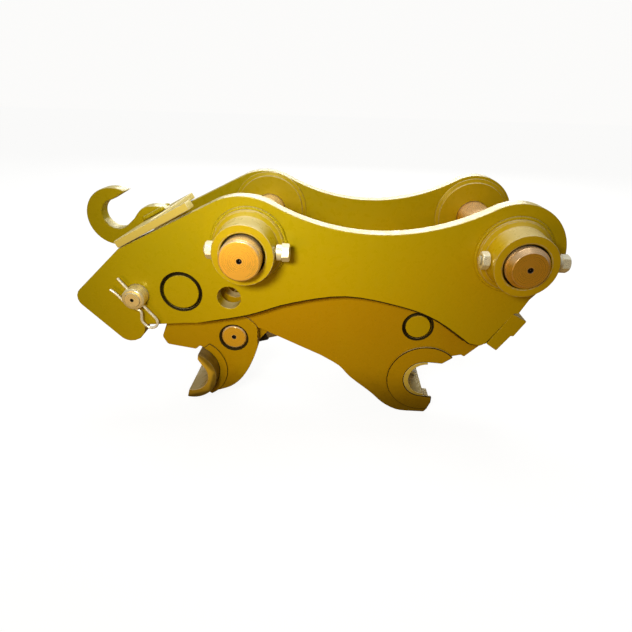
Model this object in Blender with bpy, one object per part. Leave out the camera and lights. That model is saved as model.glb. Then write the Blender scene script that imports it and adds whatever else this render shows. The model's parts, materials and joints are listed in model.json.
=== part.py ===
"""Quick coupler for a 14 to 20 tonne excavator: two wide side plates carry the stick pin and
the link pin, a fixed jaw faces forward, and a hydraulic hook swings out at the rear.

+X points forward (the way the fixed jaw opens), +Y to the left, +Z up. Outlines are drawn in
the plane of the side plates, in millimetres, from the centre of the stick pin. The empty
"coupler" then stands the part on the ground with its origin below the middle of its box.
"""
import math

import bmesh
import bpy
from mathutils import Vector
from mathutils.geometry import tessellate_polygon

for old in list(bpy.data.objects):
    bpy.data.objects.remove(old, do_unlink=True)

MM = 0.001                # outlines and sizes below are in millimetres
FIT = 0.3                 # gap left between pieces that touch
TURN_FIT = 0.1            # radial gap at the pivots that turn
HEX = "hex"               # marks a hexagonal row in a turned profile

# Driving dimensions
PIN_SPREAD = 465          # stick pin to link pin
PIN_RADIUS = 35
HALF_WIDTH = 158          # mid-plane to the outer face of an upper plate
UPPER_THICK = 30
LOWER_THICK = 25
BOSS_REACH = 62           # how far a pin boss stands out from the upper plate
BOSS_RADIUS = 53
STICK_PIN_REACH = 89      # how far each pin end stands out from the upper plate
LINK_PIN_REACH = 77
BOLT_OUT = 35             # retention bolt, measured out from the upper plate
BOLT_RADIUS = 8
PIVOT = (-45, -208)       # centre of the hook's pivot pin
PIVOT_RADIUS = 25
HOOK_SEAT = (-133.5, -284)
HOOK_SEAT_RADIUS = 36.5
HOOK_COLLAR_RADIUS = 55
JAW = (349, -283)         # centre of the round cut-out of the fixed jaw
JAW_RADIUS = 41
JAW_SEAT = (354, -283)    # the liner's seat, a little further forward
JAW_SEAT_RADIUS = 36
ANCHOR = (324, -164)      # pin at the cylinder's base
ANCHOR_RADIUS = 27.5
ROD_LEVER = 62            # pivot pin to rod pin
ROD_PIN_RADIUS = 15
ROD_EYE_CLEARANCE = 1.7   # the linkage is open at this pivot
TUBE = (-132, -97)        # cross tube at the rear
TUBE_RADIUS = 36.5
LOCK_HOLE = (-42, -105)
LOCK_HOLE_RADIUS = 22
SAFETY = (-216, -106)     # where the safety pin is parked
SAFETY_RADIUS = 21
LIFT_RING = (-305, 3)     # centre of the lifting hook
LIFT_RADIUS = 60

ROD_PIN = (PIVOT[0], PIVOT[1] - ROD_LEVER)
STICK = (0, 0)
LINK = (PIN_SPREAD, 0)
LINK_CAP_RADIUS = 89      # round end of the upper plate at the link pin
JAW_BOTTOM = -371
LOWER_FACE = HALF_WIDTH - UPPER_THICK - FIT      # outer face of the lower plates
LUG_FACE = LOWER_FACE - LOWER_THICK - 0.6        # outer face of the pivot lugs
LUG_THICK = 25

# The part stands on the fixed jaw, with its origin under the middle of its length
REAR_END = LIFT_RING[0] - LIFT_RADIUS
FRONT_END = LINK[0] + LINK_CAP_RADIUS
ORIGIN_X = (REAR_END + FRONT_END) / 2

coupler = bpy.data.objects.new("coupler", None)
coupler.location = (-ORIGIN_X * MM, 0, -JAW_BOTTOM * MM)
bpy.context.collection.objects.link(coupler)


# Materials ------------------------------------------------------------------------------

def material(name, colour, roughness, metallic):
    mat = bpy.data.materials.new(name)
    mat.use_nodes = True
    shader = mat.node_tree.nodes["Principled BSDF"]
    shader.inputs["Base Color"].default_value = (*colour, 1)
    shader.inputs["Roughness"].default_value = roughness
    shader.inputs["Metallic"].default_value = metallic
    mat.diffuse_color = (*colour, 1)
    return mat


PAINT = ((0.48, 0.34, 0.01), 0.35, 0.0)
DARK_PAINT = ((0.30, 0.19, 0.01), 0.4, 0.0)
PIN_STEEL = ((0.80, 0.48, 0.10), 0.3, 0.8)
PLATED = ((0.85, 0.80, 0.62), 0.3, 1.0)
BLACK_STEEL = ((0.12, 0.11, 0.10), 0.45, 0.9)
CHROME = ((0.85, 0.86, 0.88), 0.12, 1.0)


# Outlines: lists of (x, z) points ---------------------------------------------------------

def arc(centre, radius, start, end, steps):
    """Points on a circle from one angle to another, in degrees, both ends included."""
    points = []
    for i in range(steps + 1):
        angle = math.radians(start + (end - start) * i / steps)
        points.append((centre[0] + radius * math.cos(angle), centre[1] + radius * math.sin(angle)))
    return points


def circle(centre, radius, steps=24):
    return arc(centre, radius, 0, 360, steps)[:-1]


def rounded(corners, steps=5):
    """A closed polygon whose corners (x, z, radius) are rounded off."""
    points = []
    for i, (x, z, radius) in enumerate(corners):
        here = Vector((x, z))
        if radius == 0:
            points.append((x, z))
            continue
        before = (Vector(corners[i - 1][:2]) - here).normalized()
        after = (Vector(corners[(i + 1) % len(corners)][:2]) - here).normalized()
        half = before.angle(after) / 2
        start = here + before * (radius / math.tan(half))
        end = here + after * (radius / math.tan(half))
        centre = here + (before + after).normalized() * (radius / math.sin(half))
        for k in range(steps + 1):
            toward = (start - centre).lerp(end - centre, k / steps).normalized()
            points.append(tuple(centre + toward * radius))
    return points


def smooth(points, steps=4):
    """A smooth open curve through the points (Catmull-Rom)."""
    padded = [points[0], *points, points[-1]]
    curve = []
    for i in range(1, len(padded) - 2):
        p0, p1, p2, p3 = (Vector(p) for p in padded[i - 1:i + 3])
        for k in range(steps):
            t = k / steps
            bend = (2 * p0 - 5 * p1 + 4 * p2 - p3) * t * t + (3 * p1 - 3 * p2 + p3 - p0) * t * t * t
            curve.append(tuple(p1 + ((p2 - p0) * t + bend) / 2))
    curve.append(tuple(points[-1]))
    return curve


def around(discs, steps=32):
    """The tight outline around a set of discs, each (centre, radius)."""
    cloud = sorted({p for centre, radius in discs for p in circle(centre, radius, steps)})

    def chain(points):
        run = []
        for p in points:
            while len(run) > 1:
                (ax, az), (bx, bz) = run[-2], run[-1]
                if (bx - ax) * (p[1] - az) - (bz - az) * (p[0] - ax) > 1e-6:
                    break
                run.pop()
            run.append(p)
        return run[:-1]

    return chain(cloud) + chain(cloud[::-1])


def touching(centre_a, radius_a, centre_b, radius_b):
    """Where two circles cross, the upper point."""
    a, b = Vector(centre_a), Vector(centre_b)
    span = (b - a).length
    along = (span ** 2 + radius_a ** 2 - radius_b ** 2) / (2 * span)
    rise = math.sqrt(radius_a ** 2 - along ** 2)
    step = (b - a) / span
    return a + step * along + Vector((-step.y, step.x)) * rise


def angle_to(centre, point):
    return math.degrees(math.atan2(point[1] - centre[1], point[0] - centre[0]))


# Solids -----------------------------------------------------------------------------------

def add(name, verts, faces, look, pivot=(0, 0, 0)):
    """An object from millimetre points, with its origin at pivot and its faces pointing out."""
    mesh = bpy.data.meshes.new(name)
    mesh.from_pydata([(Vector(v) - Vector(pivot)) * MM for v in verts], [], faces)
    work = bmesh.new()
    work.from_mesh(mesh)
    bmesh.ops.recalc_face_normals(work, faces=work.faces)
    work.to_mesh(mesh)
    work.free()
    mesh.shade_smooth()
    mesh.set_sharp_from_angle(angle=math.radians(32))
    piece = bpy.data.objects.new(name, mesh)
    piece.data.materials.append(material(name, *look))
    piece.location = Vector(pivot) * MM
    piece.parent = coupler
    bpy.context.collection.objects.link(piece)
    return piece


def plate(name, outline, holes, y_low, y_high, look, pivot=(0, 0, 0)):
    """A flat plate: the outline with its holes, between two heights along Y."""
    loops = [outline, *holes]
    flat = [[Vector((x, z, 0)) for x, z in loop] for loop in loops]
    caps = tessellate_polygon(flat)
    rim = [p for loop in loops for p in loop]
    count = len(rim)
    verts = [(x, y_low, z) for x, z in rim] + [(x, y_high, z) for x, z in rim]
    faces = [tuple(c) for c in caps] + [tuple(i + count for i in reversed(c)) for c in caps]
    start = 0
    for loop in loops:
        size = len(loop)
        for i in range(size):
            a, b = start + i, start + (i + 1) % size
            faces.append((a, b, b + count, a + count))
        start += size
    return add(name, verts, faces, look, pivot)


def turned(name, profile, base, axis, look, steps=24, ring=False, pivot=(0, 0, 0)):
    """A turned piece: profile (distance along the axis, radius) spun about a line from base.
    A ring's profile is a closed loop; otherwise it starts and ends on the axis. A third value
    of HEX makes that row hexagonal, with the radius measured to its flats."""
    base, axis = Vector(base), Vector(axis).normalized()
    side = axis.orthogonal().normalized()
    up = axis.cross(side)
    verts, rows = [], []
    for along, radius, *shape in profile:
        if radius == 0:
            rows.append([len(verts)] * steps)
            verts.append(base + axis * along)
            continue
        rows.append(list(range(len(verts), len(verts) + steps)))
        for i in range(steps):
            turn = 2 * math.pi * i / steps
            reach = radius
            if shape:
                reach /= math.cos(turn % (math.pi / 3) - math.pi / 6)
            verts.append(base + axis * along + (side * math.cos(turn) + up * math.sin(turn)) * reach)
    pairs = list(zip(rows, rows[1:]))
    if ring:
        pairs.append((rows[-1], rows[0]))
    faces = []
    for low, high in pairs:
        for i in range(steps):
            j = (i + 1) % steps
            corner = [low[i], low[j], high[j], high[i]]
            faces.append(tuple(dict.fromkeys(corner)))
    return add(name, verts, faces, look, pivot)


def solid_rod(name, start, end, radius, look, chamfer=1.5, steps=24, pivot=(0, 0, 0)):
    length = (Vector(end) - Vector(start)).length
    profile = [(0, 0), (0, radius - chamfer), (chamfer, radius),
               (length - chamfer, radius), (length, radius - chamfer), (length, 0)]
    return turned(name, profile, start, Vector(end) - Vector(start), look, steps, pivot=pivot)


def hidden(piece):
    piece.hide_render = True
    piece.display_type = 'WIRE'
    return piece


def combine(piece, tool, operation):
    """Cut a hidden tool out of a piece, or join the tool onto it."""
    step = piece.modifiers.new(tool.name, 'BOOLEAN')
    step.operation = operation
    step.object = hidden(tool)
    step.solver = 'EXACT'


SIDES = (("right", -1), ("left", 1))


def layer(side, outer, inner):
    """The two heights along Y of a layer between two distances from the mid-plane."""
    return sorted((side * outer, side * inner))


# Upper side plates ------------------------------------------------------------------------

CAP = (-10, -26)          # centre of the shoulder over the stick pin
CAP_RADIUS = 111
VALLEY_RADIUS = 400
TAIL_TOP = (-239, -17)    # rear end of the sloping top edge
BAR_TOP = (488, -113)     # the front bar lies against this edge of the plate
BAR_FOOT = (452, -179)


def upper_outline():
    valley = touching(CAP, CAP_RADIUS + VALLEY_RADIUS, LINK, LINK_CAP_RADIUS + VALLEY_RADIUS)
    reach = (Vector(TAIL_TOP) - Vector(CAP)).length
    slope = (angle_to(TAIL_TOP, CAP) + math.degrees(math.asin(CAP_RADIUS / reach)))
    dip_start = angle_to(valley, CAP)
    dip_end = angle_to(valley, LINK)
    points = arc(CAP, CAP_RADIUS, slope + 90, angle_to(CAP, valley), 16)
    points += arc(valley, VALLEY_RADIUS, dip_start, dip_end, 20)[1:]
    points += arc(LINK, LINK_CAP_RADIUS, angle_to(LINK, valley), -33, 36)[1:]
    points += [(512, -84), (499, -113), BAR_TOP, BAR_FOOT, (438, -185)]
    points += smooth([(418, -183), (349, -136), (280, -111), (176, -95), (73, -114),
                      (-3, -141), (-82, -158), (-171, -167)], 4)
    points += rounded([(-206, -208, 32), (-256, -208, 26), (-345, -117, 22), TAIL_TOP + (0,)], 5)[:-1]
    points.append(TAIL_TOP)
    return points


for name, side in SIDES:
    plate("upper_plate_" + name, upper_outline(),
          [circle(STICK, PIN_RADIUS + FIT), circle(LINK, PIN_RADIUS + FIT),
           circle(TUBE, TUBE_RADIUS + FIT, 36), circle(LOCK_HOLE, LOCK_HOLE_RADIUS, 36),
           circle(SAFETY, SAFETY_RADIUS + FIT)],
          *layer(side, HALF_WIDTH, HALF_WIDTH - UPPER_THICK), PAINT)

# Lower side plates: the fixed jaw -----------------------------------------------------------

SWING_GAP = 56.8          # radius of the edge that clears the turning hook plates
CHEEK_RADIUS = 55.3       # round top of the hook plates
MOUTH_TOP = -243
LIP = (383, -244)


def lower_outline():
    points = arc(PIVOT, SWING_GAP, 76, 27, 6)
    points += [(18, -187), (92, -221)]
    points += smooth([(132, -239), (172, -263), (197, -290), (242, -326), (270, -352),
                      (300, -368), (325, JAW_BOTTOM)], 3)
    points += [(362, JAW_BOTTOM), (369, -361), (365, -343), (366, -326)]
    points += arc(JAW, JAW_RADIUS + FIT, -90, -270, 22)
    points += [LIP, (395, -230), (418, -224), (425, -228), (452, -200), (444, -150)]
    points += smooth([(380, -100), (270, -72), (170, -62), (70, -82), (-20, -118)], 3)
    return points


for name, side in SIDES:
    plate("lower_plate_" + name, lower_outline(), [circle(ANCHOR, ANCHOR_RADIUS + FIT)],
          *layer(side, LOWER_FACE, LOWER_FACE - LOWER_THICK), PAINT)

RING_RADIUS = 76
RING_THICK = 6


def jaw_ring_outline():
    points = arc(JAW, RING_RADIUS, 46, 283, 40)
    points += [(372, -341), (372, -327)]
    points += arc(JAW, JAW_RADIUS + FIT, -90, -270, 22)
    points.append((382, -243.5))
    return points


for name, side in SIDES:
    face = LOWER_FACE + FIT
    plate("jaw_ring_" + name, jaw_ring_outline(), [], *layer(side, face + RING_THICK, face), PAINT)

# The liner takes the bucket's front pin; the saddle joins the two lower plates behind it
LINER_END = LOWER_FACE + FIT + RING_THICK
liner_outline = arc(JAW, JAW_RADIUS, 84, 276, 26) + arc(JAW_SEAT, JAW_SEAT_RADIUS, 270, 90, 22)
plate("fixed_jaw_liner", liner_outline, [], -LINER_END, LINER_END, DARK_PAINT)

SADDLE_RADIUS = 60
saddle_half = LOWER_FACE - LOWER_THICK - FIT
saddle_outline = arc(JAW, SADDLE_RADIUS, 80, 272, 26) + arc(JAW, JAW_RADIUS + FIT, 272, 80, 24)
plate("fixed_jaw_saddle", saddle_outline, [], -saddle_half, saddle_half, PAINT)

# Square plug in the liner's floor, on the right-hand side
PLUG_ANGLE = -118
PLUG_Y = -62
PLUG_HALF = 7
plug_out = Vector((math.cos(math.radians(PLUG_ANGLE)), math.sin(math.radians(PLUG_ANGLE))))
plug_along = Vector((-plug_out.y, plug_out.x))
plug_foot = Vector(JAW_SEAT) + plug_out * (JAW_SEAT_RADIUS - 2)
plug_corners = [plug_foot + plug_along * a - plug_out * b
                for a, b in ((-PLUG_HALF, 0), (PLUG_HALF, 0), (PLUG_HALF, 7), (-PLUG_HALF, 7))]
plate("jaw_grease_plug", [tuple(p) for p in plug_corners], [],
      PLUG_Y - PLUG_HALF, PLUG_Y + PLUG_HALF, PLATED)

# Cross members ------------------------------------------------------------------------------

solid_rod("rear_cross_tube", (TUBE[0], -HALF_WIDTH, TUBE[1]), (TUBE[0], HALF_WIDTH, TUBE[1]),
          TUBE_RADIUS, PAINT, chamfer=2)

solid_rod("cylinder_anchor_pin", (ANCHOR[0], -LOWER_FACE, ANCHOR[1]),
          (ANCHOR[0], LOWER_FACE, ANCHOR[1]), ANCHOR_RADIUS, PAINT, chamfer=2)

bar_outline = [BAR_TOP, (517, -128), (499, -161), (494, -160), (473, -193), BAR_FOOT]
bar_shift = Vector((0.88, -0.48)) * FIT
bar_outline = [tuple(Vector(p) + bar_shift) for p in bar_outline]
plate("front_cross_bar", bar_outline, [], -HALF_WIDTH, HALF_WIDTH, PAINT)

deck_half = LOWER_FACE - LOWER_THICK - FIT
deck_outline = [(92, -159), (290, -102), (290, -88), (92, -145)]
plate("deck_plate", deck_outline, [], -deck_half, deck_half, PAINT)

COVER_SLOPE = math.radians(28.5)
COVER_LENGTH = 157
COVER_THICK = 14
cover_along = Vector((math.cos(COVER_SLOPE), math.sin(COVER_SLOPE)))
cover_up = Vector((-cover_along.y, cover_along.x))
cover_start = Vector(TAIL_TOP) + cover_up * 0.5 + cover_along * 0.5
cover_outline = [cover_start, cover_start + cover_along * COVER_LENGTH,
                 cover_start + cover_along * COVER_LENGTH + cover_up * COVER_THICK,
                 cover_start + cover_up * COVER_THICK]
cover = plate("cover_plate", [tuple(p) for p in cover_outline], [], -HALF_WIDTH, HALF_WIDTH, PAINT)

# Beyond the lifting hook only a strip of it goes on, along the right plate's edge
COVER_WIDE = 60
cut_start = cover_start + cover_along * COVER_WIDE - cover_up * 5
cut_outline = [cut_start, cut_start + cover_along * COVER_LENGTH,
               cut_start + cover_along * COVER_LENGTH + cover_up * (COVER_THICK + 10),
               cut_start + cover_up * (COVER_THICK + 10)]
cover_cut = plate("cover_cut", [tuple(p) for p in cut_outline], [],
                  UPPER_THICK - HALF_WIDTH, HALF_WIDTH + 5, PAINT)
combine(cover, cover_cut, 'DIFFERENCE')

# Lifting hook, welded to the cover on the mid-plane
LIFT_HALF = 15
EYE = (-302, 9)
EYE_RADIUS = 30
root_line = cover_start + cover_up * (COVER_THICK + FIT)


def on_cover(distance):
    return tuple(root_line + cover_along * distance)


def lift_outline():
    points = arc(LIFT_RING, LIFT_RADIUS, 66, 268, 26)
    points += [(-286, -46), (-262, -30), tuple(cover_start - cover_along * FIT),
               on_cover(-FIT), on_cover(58)]
    points += smooth([(-204, 27), (-224, 29), (-243, 25), (-256, 14), (-266, 1)], 3)
    points += arc(EYE, EYE_RADIUS, -42, -262, 24)
    points.append((-273, 58))
    return points


plate("lifting_hook", lift_outline(), [], -LIFT_HALF, LIFT_HALF, PAINT)

# Pivot lugs inside the hook plates, welded to the lower plates and to the cross tube
lug_outline = around([(TUBE, 52), (PIVOT, 46), ((62, -112), 22), ((40, -150), 22)])
for name, side in SIDES:
    plate("pivot_lug_" + name, lug_outline,
          [circle(TUBE, TUBE_RADIUS + FIT, 36), circle(PIVOT, PIVOT_RADIUS + TURN_FIT, 48),
           circle(LOCK_HOLE, LOCK_HOLE_RADIUS + 1, 28)],
          *layer(side, LUG_FACE, LUG_FACE - LUG_THICK), PAINT)

# Pin bosses and the two upper pins ------------------------------------------------------------

BOLT_HOLE = BOLT_RADIUS + 0.5
HEX_HALF = 13.5           # half the width across the flats of heads and nuts
boss_profile = [(0, PIN_RADIUS + FIT), (0, 64), (8, 64), (15, BOSS_RADIUS + 1),
                (BOSS_REACH - 2, BOSS_RADIUS), (BOSS_REACH, BOSS_RADIUS - 2),
                (BOSS_REACH, PIN_RADIUS + 6), (BOSS_REACH - 6, PIN_RADIUS + FIT)]
inner_profile = [(0, PIN_RADIUS + FIT), (0, 83), (5, 83), (6, 75), (12, 75), (12, PIN_RADIUS + FIT)]

PINS = (("stick", STICK, STICK_PIN_REACH, 1.5), ("link", LINK, LINK_PIN_REACH, 5.5))
for pin_name, centre, reach, chamfer in PINS:
    half = HALF_WIDTH + reach
    end = [(0, 0), (0, PIN_RADIUS - chamfer), (chamfer, PIN_RADIUS)]
    if pin_name == "link":
        end += [(10, PIN_RADIUS), (10, PIN_RADIUS - 2), (14, PIN_RADIUS - 2), (14, PIN_RADIUS)]
    profile = end + [(2 * half - along, radius) for along, radius in reversed(end)]
    pin = turned(pin_name + "_pin", profile, (centre[0], -half, centre[1]), (0, 1, 0), PIN_STEEL)
    for name, side in SIDES:
        face = (centre[0], side * HALF_WIDTH, centre[1])
        boss_base = (centre[0], side * (HALF_WIDTH + FIT), centre[1])
        boss = turned("%s_boss_%s" % (pin_name, name), boss_profile, boss_base, (0, side, 0),
                      PAINT, ring=True)
        ring_base = (centre[0], side * (HALF_WIDTH - UPPER_THICK - FIT), centre[1])
        turned("%s_inner_ring_%s" % (pin_name, name), inner_profile, ring_base, (0, -side, 0),
               PAINT, ring=True)
        bolt_y = side * (HALF_WIDTH + BOLT_OUT)
        drill = solid_rod("drill_%s_%s" % (pin_name, name), (centre[0] - 90, bolt_y, 0),
                          (centre[0] + 90, bolt_y, 0), BOLT_HOLE, BLACK_STEEL, steps=12)
        combine(boss, drill, 'DIFFERENCE')
        combine(pin, drill, 'DIFFERENCE')
        # Retention bolt: head and spacer at the front, nut at the rear
        front = centre[0] + BOSS_RADIUS + 1 + FIT
        rear = centre[0] - BOSS_RADIUS - 1 - FIT
        spacer = 9
        turned("%s_bolt_spacer_%s" % (pin_name, name),
               [(0, BOLT_HOLE), (0, 14), (spacer, 14), (spacer, BOLT_HOLE)],
               (front, bolt_y, 0), (1, 0, 0), PLATED, steps=16, ring=True)
        head_base = front + spacer + FIT
        head_height = 13
        nut_height = 13
        tail = rear - nut_height - 3
        length = head_base - tail
        bolt_profile = [(0, 0), (0, BOLT_RADIUS - 1), (1, BOLT_RADIUS), (length, BOLT_RADIUS),
                        (length, HEX_HALF, HEX), (length + head_height - 1.5, HEX_HALF, HEX),
                        (length + head_height, HEX_HALF - 1.5), (length + head_height, 0)]
        turned("%s_bolt_%s" % (pin_name, name), bolt_profile, (tail, bolt_y, 0), (1, 0, 0),
               PLATED, steps=12)
        turned("%s_bolt_nut_%s" % (pin_name, name),
               [(0, BOLT_RADIUS + FIT), (0, HEX_HALF, HEX), (nut_height, HEX_HALF, HEX),
                (nut_height, BOLT_RADIUS + FIT)],
               (rear - nut_height, bolt_y, 0), (1, 0, 0), PLATED, steps=12, ring=True)

# The hook: everything below turns on the pivot pin ---------------------------------------------

HOOK_AXIS = (PIVOT[0], 0, PIVOT[1])
COLLAR_END = HALF_WIDTH - FIT                     # the saddle's ends, level with the upper plates
CHEEK_FACE = LOWER_FACE - 0.7                     # outer face of the hook plates
CHEEK_THICK = 24
LIP_ANGLE = 66
TIP_ANGLE = -101


def cheek_outline():
    """Hook plate: heel at the rear, round top that turns inside the lower plate, hook below."""
    points = arc(PIVOT, CHEEK_RADIUS, 27, 100, 10)
    points += [(-100, -142), (-132, -135), (-168, -146), (-182, -185)]
    points += rounded([(-182, -185, 0), (-193, -212, 8), (-184, -230, 9), (-126, -239, 0)], 3)[1:]
    points += arc(HOOK_SEAT, HOOK_COLLAR_RADIUS + FIT, LIP_ANGLE + 7, TIP_ANGLE - 2, 18)
    points += [(-146, -345), (-124, -347), (-102, -344)]
    points += smooth([(-82, -339), (-58, -329), (-37, -311), (-19, -284), (-5, -253), (4, -226)], 3)
    return points


for name, side in SIDES:
    plate("hook_plate_" + name, cheek_outline(), [circle(PIVOT, PIVOT_RADIUS + FIT)],
          *layer(side, CHEEK_FACE, CHEEK_FACE - CHEEK_THICK), PAINT, HOOK_AXIS)

HOOK_RING_RADIUS = 72
HOOK_RING_THICK = 3
hook_ring_outline = arc(HOOK_SEAT, HOOK_RING_RADIUS, 58, -62, 24)
hook_ring_outline += arc(HOOK_SEAT, HOOK_COLLAR_RADIUS + FIT, -70, 64, 18)
for name, side in SIDES:
    face = CHEEK_FACE + FIT
    plate("hook_ring_" + name, hook_ring_outline, [],
          *layer(side, face + HOOK_RING_THICK, face), PAINT, HOOK_AXIS)

hook_saddle_outline = arc(HOOK_SEAT, HOOK_SEAT_RADIUS, TIP_ANGLE + 2, 44, 22)
hook_saddle_outline += [(-115, -245)]
hook_saddle_outline += arc(HOOK_SEAT, HOOK_COLLAR_RADIUS, LIP_ANGLE + 2, TIP_ANGLE, 24)
plate("hook_saddle", hook_saddle_outline, [], -COLLAR_END, COLLAR_END, DARK_PAINT, HOOK_AXIS)

HUB_RADIUS = 34
hub_half = LUG_FACE - LUG_THICK - 0.5
turned("pivot_hub",
       [(0, PIVOT_RADIUS + FIT), (0, HUB_RADIUS), (2 * hub_half, HUB_RADIUS),
        (2 * hub_half, PIVOT_RADIUS + FIT)],
       (PIVOT[0], -hub_half, PIVOT[1]), (0, 1, 0), PAINT, ring=True, pivot=HOOK_AXIS)

PIVOT_PIN_END = CHEEK_FACE - 3
solid_rod("pivot_pin", (PIVOT[0], -PIVOT_PIN_END, PIVOT[1]), (PIVOT[0], PIVOT_PIN_END, PIVOT[1]),
          PIVOT_RADIUS, PIN_STEEL, steps=48, pivot=HOOK_AXIS)

# Two arms in the middle join the hub to the saddle, hold the rod pin, and rise to the lock hole
ARM_GAP = 24
ARM_THICK = 20


def arm_outline():
    points = arc(PIVOT, HUB_RADIUS + 12, -10, 52, 5)
    points += rounded([(-9, -150, 8), (3, -92, 8), (-17, -90, 6), (-19, -128, 10)], 3)
    points += arc(PIVOT, HUB_RADIUS + 12, 84, 170, 7)
    points += arc(HOOK_SEAT, HOOK_COLLAR_RADIUS + FIT, 52, -44, 12)
    points += arc(ROD_PIN, 28, -100, 0, 7)
    return points


for name, side in SIDES:
    plate("hook_arm_" + name, arm_outline(),
          [circle(PIVOT, HUB_RADIUS + FIT), circle(ROD_PIN, ROD_PIN_RADIUS + TURN_FIT)],
          *layer(side, ARM_GAP + ARM_THICK, ARM_GAP), PAINT, HOOK_AXIS)

rod_pin_half = ARM_GAP + ARM_THICK + 4
solid_rod("rod_pin", (ROD_PIN[0], -rod_pin_half, ROD_PIN[1]), (ROD_PIN[0], rod_pin_half, ROD_PIN[1]),
          ROD_PIN_RADIUS, BLACK_STEEL, steps=24, pivot=HOOK_AXIS)

# The cylinder: its barrel turns on the anchor pin, its rod pushes the hook outward ---------------

BARREL_RADIUS = 40
BORE_RADIUS = 31
ROD_RADIUS = 18
BARREL_START = 34
BARREL_END = 236
GLAND_END = 262
EYE_HALF = 30
ROD_EYE_RADIUS = 25
ROD_EYE_HALF = 22.5

anchor = Vector((ANCHOR[0], 0, ANCHOR[1]))
rod_end = Vector((ROD_PIN[0], 0, ROD_PIN[1]))
push = (rod_end - anchor).normalized()
cylinder_up = Vector((-push.z, 0, push.x)) * -1
cylinder_length = (rod_end - anchor).length


def along_cylinder(distance):
    return anchor + push * distance


barrel = turned("cylinder_barrel",
                [(0, 0), (0, BARREL_RADIUS - 4), (4, BARREL_RADIUS),
                 (BARREL_END - BARREL_START, BARREL_RADIUS), (BARREL_END - BARREL_START, BORE_RADIUS),
                 (20, BORE_RADIUS), (20, 0)],
                along_cylinder(BARREL_START), push, BLACK_STEEL, pivot=anchor)
eye = solid_rod("base_eye", anchor - Vector((0, EYE_HALF, 0)), anchor + Vector((0, EYE_HALF, 0)),
                38, BLACK_STEEL)
eye_bore = solid_rod("base_eye_bore", anchor - Vector((0, 60, 0)), anchor + Vector((0, 60, 0)),
                     ANCHOR_RADIUS + TURN_FIT, BLACK_STEEL, chamfer=0.5)
combine(barrel, eye, 'UNION')
combine(barrel, eye_bore, 'DIFFERENCE')

turned("cylinder_gland",
       [(0, ROD_RADIUS + TURN_FIT), (0, BARREL_RADIUS + 2), (18, BARREL_RADIUS + 2), (20, BARREL_RADIUS),
        (20, 30), (GLAND_END - BARREL_END, 28), (GLAND_END - BARREL_END, ROD_RADIUS + TURN_FIT)],
       along_cylinder(BARREL_END + FIT), push, BLACK_STEEL, ring=True, pivot=anchor)

PISTON_START = 196
PISTON_LENGTH = 26
rod_start = PISTON_START - 6
neck = cylinder_length - 50
solid_rod("cylinder_rod", along_cylinder(rod_start), along_cylinder(neck - FIT), ROD_RADIUS, CHROME,
          pivot=rod_end)
turned("cylinder_piston",
       [(0, ROD_RADIUS + FIT), (0, BORE_RADIUS - 1), (1, BORE_RADIUS - TURN_FIT),
        (PISTON_LENGTH - 1, BORE_RADIUS - TURN_FIT), (PISTON_LENGTH, BORE_RADIUS - 1),
        (PISTON_LENGTH, ROD_RADIUS + FIT)],
       along_cylinder(PISTON_START), push, BLACK_STEEL, ring=True, pivot=rod_end)

rod_eye = turned("rod_eye", [(0, 0), (0, 20), (2, 22), (30, 22), (30, 0)],
                 along_cylinder(neck), push, BLACK_STEEL, pivot=rod_end)
eye_disc = solid_rod("rod_eye_disc", rod_end - Vector((0, ROD_EYE_HALF, 0)),
                     rod_end + Vector((0, ROD_EYE_HALF, 0)), ROD_EYE_RADIUS, BLACK_STEEL)
eye_disc_bore = solid_rod("rod_eye_bore", rod_end - Vector((0, 40, 0)), rod_end + Vector((0, 40, 0)),
                          ROD_PIN_RADIUS + ROD_EYE_CLEARANCE, BLACK_STEEL, chamfer=0.5)
combine(rod_eye, eye_disc, 'UNION')
combine(rod_eye, eye_disc_bore, 'DIFFERENCE')

# Check valve on top of the barrel, with its two hose adapters facing left
VALVE_START, VALVE_END = 78, 142
VALVE_HALF = 24
VALVE_HEIGHT = 20
low, high = BARREL_RADIUS + FIT, BARREL_RADIUS + VALVE_HEIGHT
valve_corners = [along_cylinder(s) + cylinder_up * h
                 for s, h in ((VALVE_START, low), (VALVE_END, low), (VALVE_END, high),
                              (VALVE_START, high))]
plate("check_valve", [(c.x, c.z) for c in valve_corners], [], -VALVE_HALF, VALVE_HALF,
      BLACK_STEEL, tuple(anchor))
for number, distance in ((1, 93), (2, 127)):
    foot = along_cylinder(distance) + cylinder_up * (BARREL_RADIUS + 10.5)
    foot.y = VALVE_HALF + FIT
    turned("hose_adapter_%d" % number,
           [(0, 0), (0, 8.5, HEX), (9, 8.5, HEX), (9, 6.5), (22, 6.5), (22, 3.5), (10, 3.5), (10, 0)],
           foot, (0, 1, 0), PLATED, steps=12, pivot=anchor)

# Safety pin, parked across the tail, with its clip ------------------------------------------------

PIN_NEAR_END = HALF_WIDTH + 27
PIN_HEAD = 30
CLIP_OUT = 12             # the clip's plane, measured out from the right-hand plate
CLIP_WIRE = 2.5
CLIP_TILT = math.radians(-53)
clip_along = Vector((math.cos(CLIP_TILT), 0, math.sin(CLIP_TILT)))
clip_side = Vector((-clip_along.z, 0, clip_along.x))
clip_centre = Vector((SAFETY[0], -HALF_WIDTH - CLIP_OUT, SAFETY[1]))

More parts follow.
